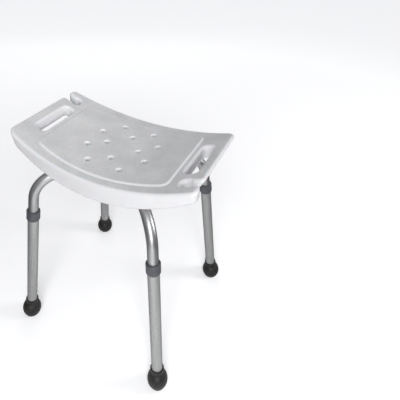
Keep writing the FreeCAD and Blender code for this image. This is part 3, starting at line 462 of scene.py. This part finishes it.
def make_foot(leg, materials):
    """A rubber bulb with a beaded socket, cut level with the floor, with ring grooves in its sole."""
    size = FOOT
    lip_low = size["height"] - size["lip_height"]
    outline = [(size["base"] - 1 * MM, -size["stock"]), (size["base"], 0)]
    outline += bow(outline[-1], (size["bulb"], size["bulb_height"]), size["lower_arc"])
    outline += bow(outline[-1], (size["neck"], size["neck_height"]), size["upper_arc"])
    socket = eased([
        (size["neck"], size["neck_height"], 0), (size["neck"], lip_low, 0.8 * MM),
        (size["lip"], lip_low + 1 * MM, 0.6 * MM), (size["lip"], size["height"], 0.9 * MM),
        (size["bore"], size["height"], 0.5 * MM), (size["bore"], size["bore_floor"], 0),
    ])
    bm = turned(outline + socket[1:], leg_frame(leg), closed=False)
    cut = bmesh.ops.bisect_plane(bm, geom=[*bm.verts, *bm.edges, *bm.faces], plane_co=(0, 0, 0),
                                 plane_no=(0, 0, -1), clear_outer=True)
    rim = [edge for edge in cut["geom_cut"] if isinstance(edge, bmesh.types.BMEdge)]
    underside = bmesh.ops.contextual_create(bm, geom=rim)["faces"]
    for thickness, depth in SOLE_STEPS * SOLE_RINGS:
        bmesh.ops.inset_individual(bm, faces=underside, thickness=thickness * MM, depth=depth * MM)
    bmesh.ops.recalc_face_normals(bm, faces=bm.faces)
    foot = new_piece("rubber_foot_" + leg, bm)
    put(foot, materials["foot_rubber"])
    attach(foot, "leg_" + leg)
    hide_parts("foot_" + leg)


def make_collar(leg, materials):
    """The fluted anti-rattle collar on the top of a leg tube."""
    size = COLLAR

    def flutes(angle, radius):
        if radius < size["radius"] - 0.01 * MM:
            return 0.0
        return -size["flute_depth"] * max(0.0, math.cos(size["flutes"] * angle)) ** 3

    top, wide = size["length"], size["radius"]
    band = [(wide, size["taper"], 1.2 * MM), (wide, size["taper"] + 3 * MM, 0), (wide, top - 4 * MM, 0)]
    outline = eased([
        (size["bore"], 0, 0), (size["foot"], 0, 0.4 * MM), *band, (wide, top, 1.6 * MM),
        (size["throat"], top, 0.5 * MM), (size["throat"], size["step"], 0), (size["bore"], size["step"], 0),
    ])
    matrix = leg_frame(leg) @ Matrix.Translation((0, 0, size["bottom"]))
    collar = new_piece("collar_" + leg, turned(outline, matrix, closed=True, steps=144, wave=flutes))
    put(collar, materials["collar_plastic"])
    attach(collar, "leg_" + leg)
    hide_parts("leg_collar_" + leg)


def make_spring(leg, materials):
    """A steel strip folded into a V, set at the snap button's height in the leg."""
    size = SPRING
    half, side = size["thickness"] / 2, size["width"] / 2
    arc = size["fold"] - half
    front = Vector((half - size["front"], -size["tail"]))
    back = Vector((size["back"] - half, -size["tail"]))
    turns = [math.pi * (1 - step / 12) for step in range(13)]
    fold = [Vector((arc * math.cos(turn), size["rise"] + arc * math.sin(turn))) for turn in turns]
    path = [front.lerp(fold[0], step / 16) for step in range(16)] + fold
    path += [fold[-1].lerp(back, step / 16) for step in range(1, 17)]
    quarters = ((-1, -1), (1, -1), (1, 1), (-1, 1))
    section = eased([(u * half, v * side, size["rounding"]) for u, v in quarters], 2)
    matrix = leg_frame(leg) @ Matrix.Translation((0, 0, size["button"]))
    bm = bmesh.new()
    rings = []
    for index, point in enumerate(path):
        way = (path[min(index + 1, len(path) - 1)] - path[max(index - 1, 0)]).normalized()
        ring = [(point.x - way.y * u, v, point.y + way.x * u) for u, v in section]
        rings.append([bm.verts.new(matrix @ Vector(place)) for place in ring])
    for low, high in zip(rings, rings[1:]):
        for index in range(len(low)):
            bm.faces.new((low[index - 1], low[index], high[index], high[index - 1]))
    bm.faces.new(rings[0])
    bm.faces.new(rings[-1])
    bmesh.ops.recalc_face_normals(bm, faces=bm.faces)
    spring = new_piece("leaf_spring_" + leg, bm)
    put(spring, materials["spring_steel"])
    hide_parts("button_spring_" + leg)
    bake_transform(spring)


# ---------------------------------------------------------------- studio


def make_floor():
    """A pale floor that glows, so that its shadows stay faint. For all but camera rays it is painted dark, but for
    a painted pool of light that the tubes reflect.
    """
    bm = bmesh.new()
    bmesh.ops.create_grid(bm, x_segments=1, y_segments=1, size=FLOOR_REACH)
    floor = new_piece("floor", bm)
    finish = Finish("floor", Roughness=0.9, Specular_IOR_Level=0.1)
    cloud = finish.noise(3.0, detail=2.0)
    pale = finish.blend(cloud, (0.84, 0.84, 0.845), (0.86, 0.86, 0.86))
    shortened = finish.stretch(finish.turned(CAMERA["azimuth"]), (1.0, PAINTED_POOL["flat"], 1.0))
    away = finish.node("VectorMath", {0: shortened, 1: PAINTED_POOL["middle"]}, operation="DISTANCE")
    # painted pool of light: for all but camera rays the floor is bright here and painted dark further off, and the
    # tubes reflect it
    painted_pool = finish.ranged(away.outputs["Value"], PAINTED_POOL["bright_to"], PAINTED_POOL["dark_from"], 1.0, PAINTED_POOL["dark"])
    seen = finish.node("LightPath").outputs["Is Camera Ray"]
    shown = finish.ranged(seen, 0.0, 1.0, painted_pool, 1.0)
    finish.set("Base Color", finish.blend(shown, (0.0, 0.0, 0.0), pale))
    finish.set("Emission Color", (0.98, 0.98, 1.0))
    far = finish.node("VectorMath", {0: finish.place}, operation="LENGTH").outputs["Value"]
    glow = finish.ranged(far, FLOOR_NEAR, FLOOR_FAR, FLOOR_GLOW, FLOOR_FAR_GLOW)
    strength = finish.node("Math", {0: shown, 1: glow}, operation="MULTIPLY")
    finish.set("Emission Strength", strength.outputs[0])
    put(floor, finish.material)


def make_world():
    """Soft light from all round, brighter above. Behind the stool the camera sees plain white."""
    world = bpy.data.worlds.new("studio")
    bpy.context.scene.world = world
    world.use_nodes = True
    nodes, links = world.node_tree.nodes, world.node_tree.links
    place = nodes.new("ShaderNodeTexCoord")
    axes = nodes.new("ShaderNodeSeparateXYZ")
    rise = nodes.new("ShaderNodeMapRange")
    sky = nodes.new("ShaderNodeMix")
    sky.data_type = "RGBA"
    seen = nodes.new("ShaderNodeLightPath")
    shown = nodes.new("ShaderNodeMix")
    shown.data_type = "RGBA"
    links.new(place.outputs["Generated"], axes.inputs[0])
    links.new(axes.outputs["Z"], rise.inputs["Value"])
    links.new(rise.outputs["Result"], sky.inputs["Factor"])
    sky.inputs[6].default_value = (0.13, 0.132, 0.14, 1)
    sky.inputs[7].default_value = (0.40, 0.405, 0.42, 1)
    links.new(seen.outputs["Is Camera Ray"], shown.inputs["Factor"])
    links.new(sky.outputs[2], shown.inputs[6])
    shown.inputs[7].default_value = (0.95, 0.95, 0.96, 1)
    links.new(shown.outputs[2], nodes["Background"].inputs["Color"])


def direction(azimuth, elevation):
    """From the stool towards a place seen at that azimuth (0 is -Y, 90 is +X) and elevation, in degrees."""
    a, e = math.radians(azimuth), math.radians(elevation)
    return Vector((math.sin(a) * math.cos(e), -math.cos(a) * math.cos(e), math.sin(e)))


def softbox(name, azimuth, elevation, distance, width, height, power):
    """A rectangular lamp that faces the middle of the stool."""
    light = bpy.data.lights.new(name, "AREA")
    light.shape = "RECTANGLE"
    light.size, light.size_y = width, height
    light.energy = power
    lamp = bpy.data.objects.new(name, light)
    back = direction(azimuth, elevation)
    lamp.location = Vector((0, 0, LAMP_AIM)) + back * distance
    lamp.rotation_mode = "QUATERNION"
    lamp.rotation_quaternion = (-back).to_track_quat("-Z", "Y")
    bpy.context.scene.collection.objects.link(lamp)


def make_camera():
    """The camera, level but for its roll. Its shift puts the stool left of and above the frame's middle."""
    back = direction(CAMERA["azimuth"], CAMERA["elevation"])
    right = (-back).cross(Vector((0, 0, 1))).normalized()
    up = right.cross(-back)
    matrix = Matrix((right, up, back)).transposed() @ Matrix.Rotation(math.radians(CAMERA["roll"]), 3, "Z")
    data = bpy.data.cameras.new("camera")
    data.lens = CAMERA["lens"]
    data.sensor_width = 36.0
    data.shift_x, data.shift_y = CAMERA["shift"]
    data.clip_start, data.clip_end = 0.02, 200.0
    camera = bpy.data.objects.new("camera", data)
    camera.matrix_world = Matrix.Translation(CAMERA["place"]) @ matrix.to_4x4()
    bpy.context.scene.collection.objects.link(camera)
    bpy.context.scene.camera = camera


def corners(box):
    """A box as plain lists."""
    return [list(corner) for corner in box]


make_camera()
make_world()
make_floor()
softbox("key", azimuth=28, elevation=30, distance=2.4, width=1.1, height=2.2, power=46)
softbox("side", azimuth=117, elevation=22, distance=2.2, width=0.7, height=0.7, power=15)
softbox("back", azimuth=215, elevation=32, distance=2.4, width=1.6, height=1.6, power=6)
bpy.context.scene.view_settings.view_transform = "Standard"

finishes = make_materials()
dress_cad_nodes(finishes)
make_seat(finishes)
for leg_name in LEGS:
    make_foot(leg_name, finishes)
    make_collar(leg_name, finishes)
    make_spring(leg_name, finishes)
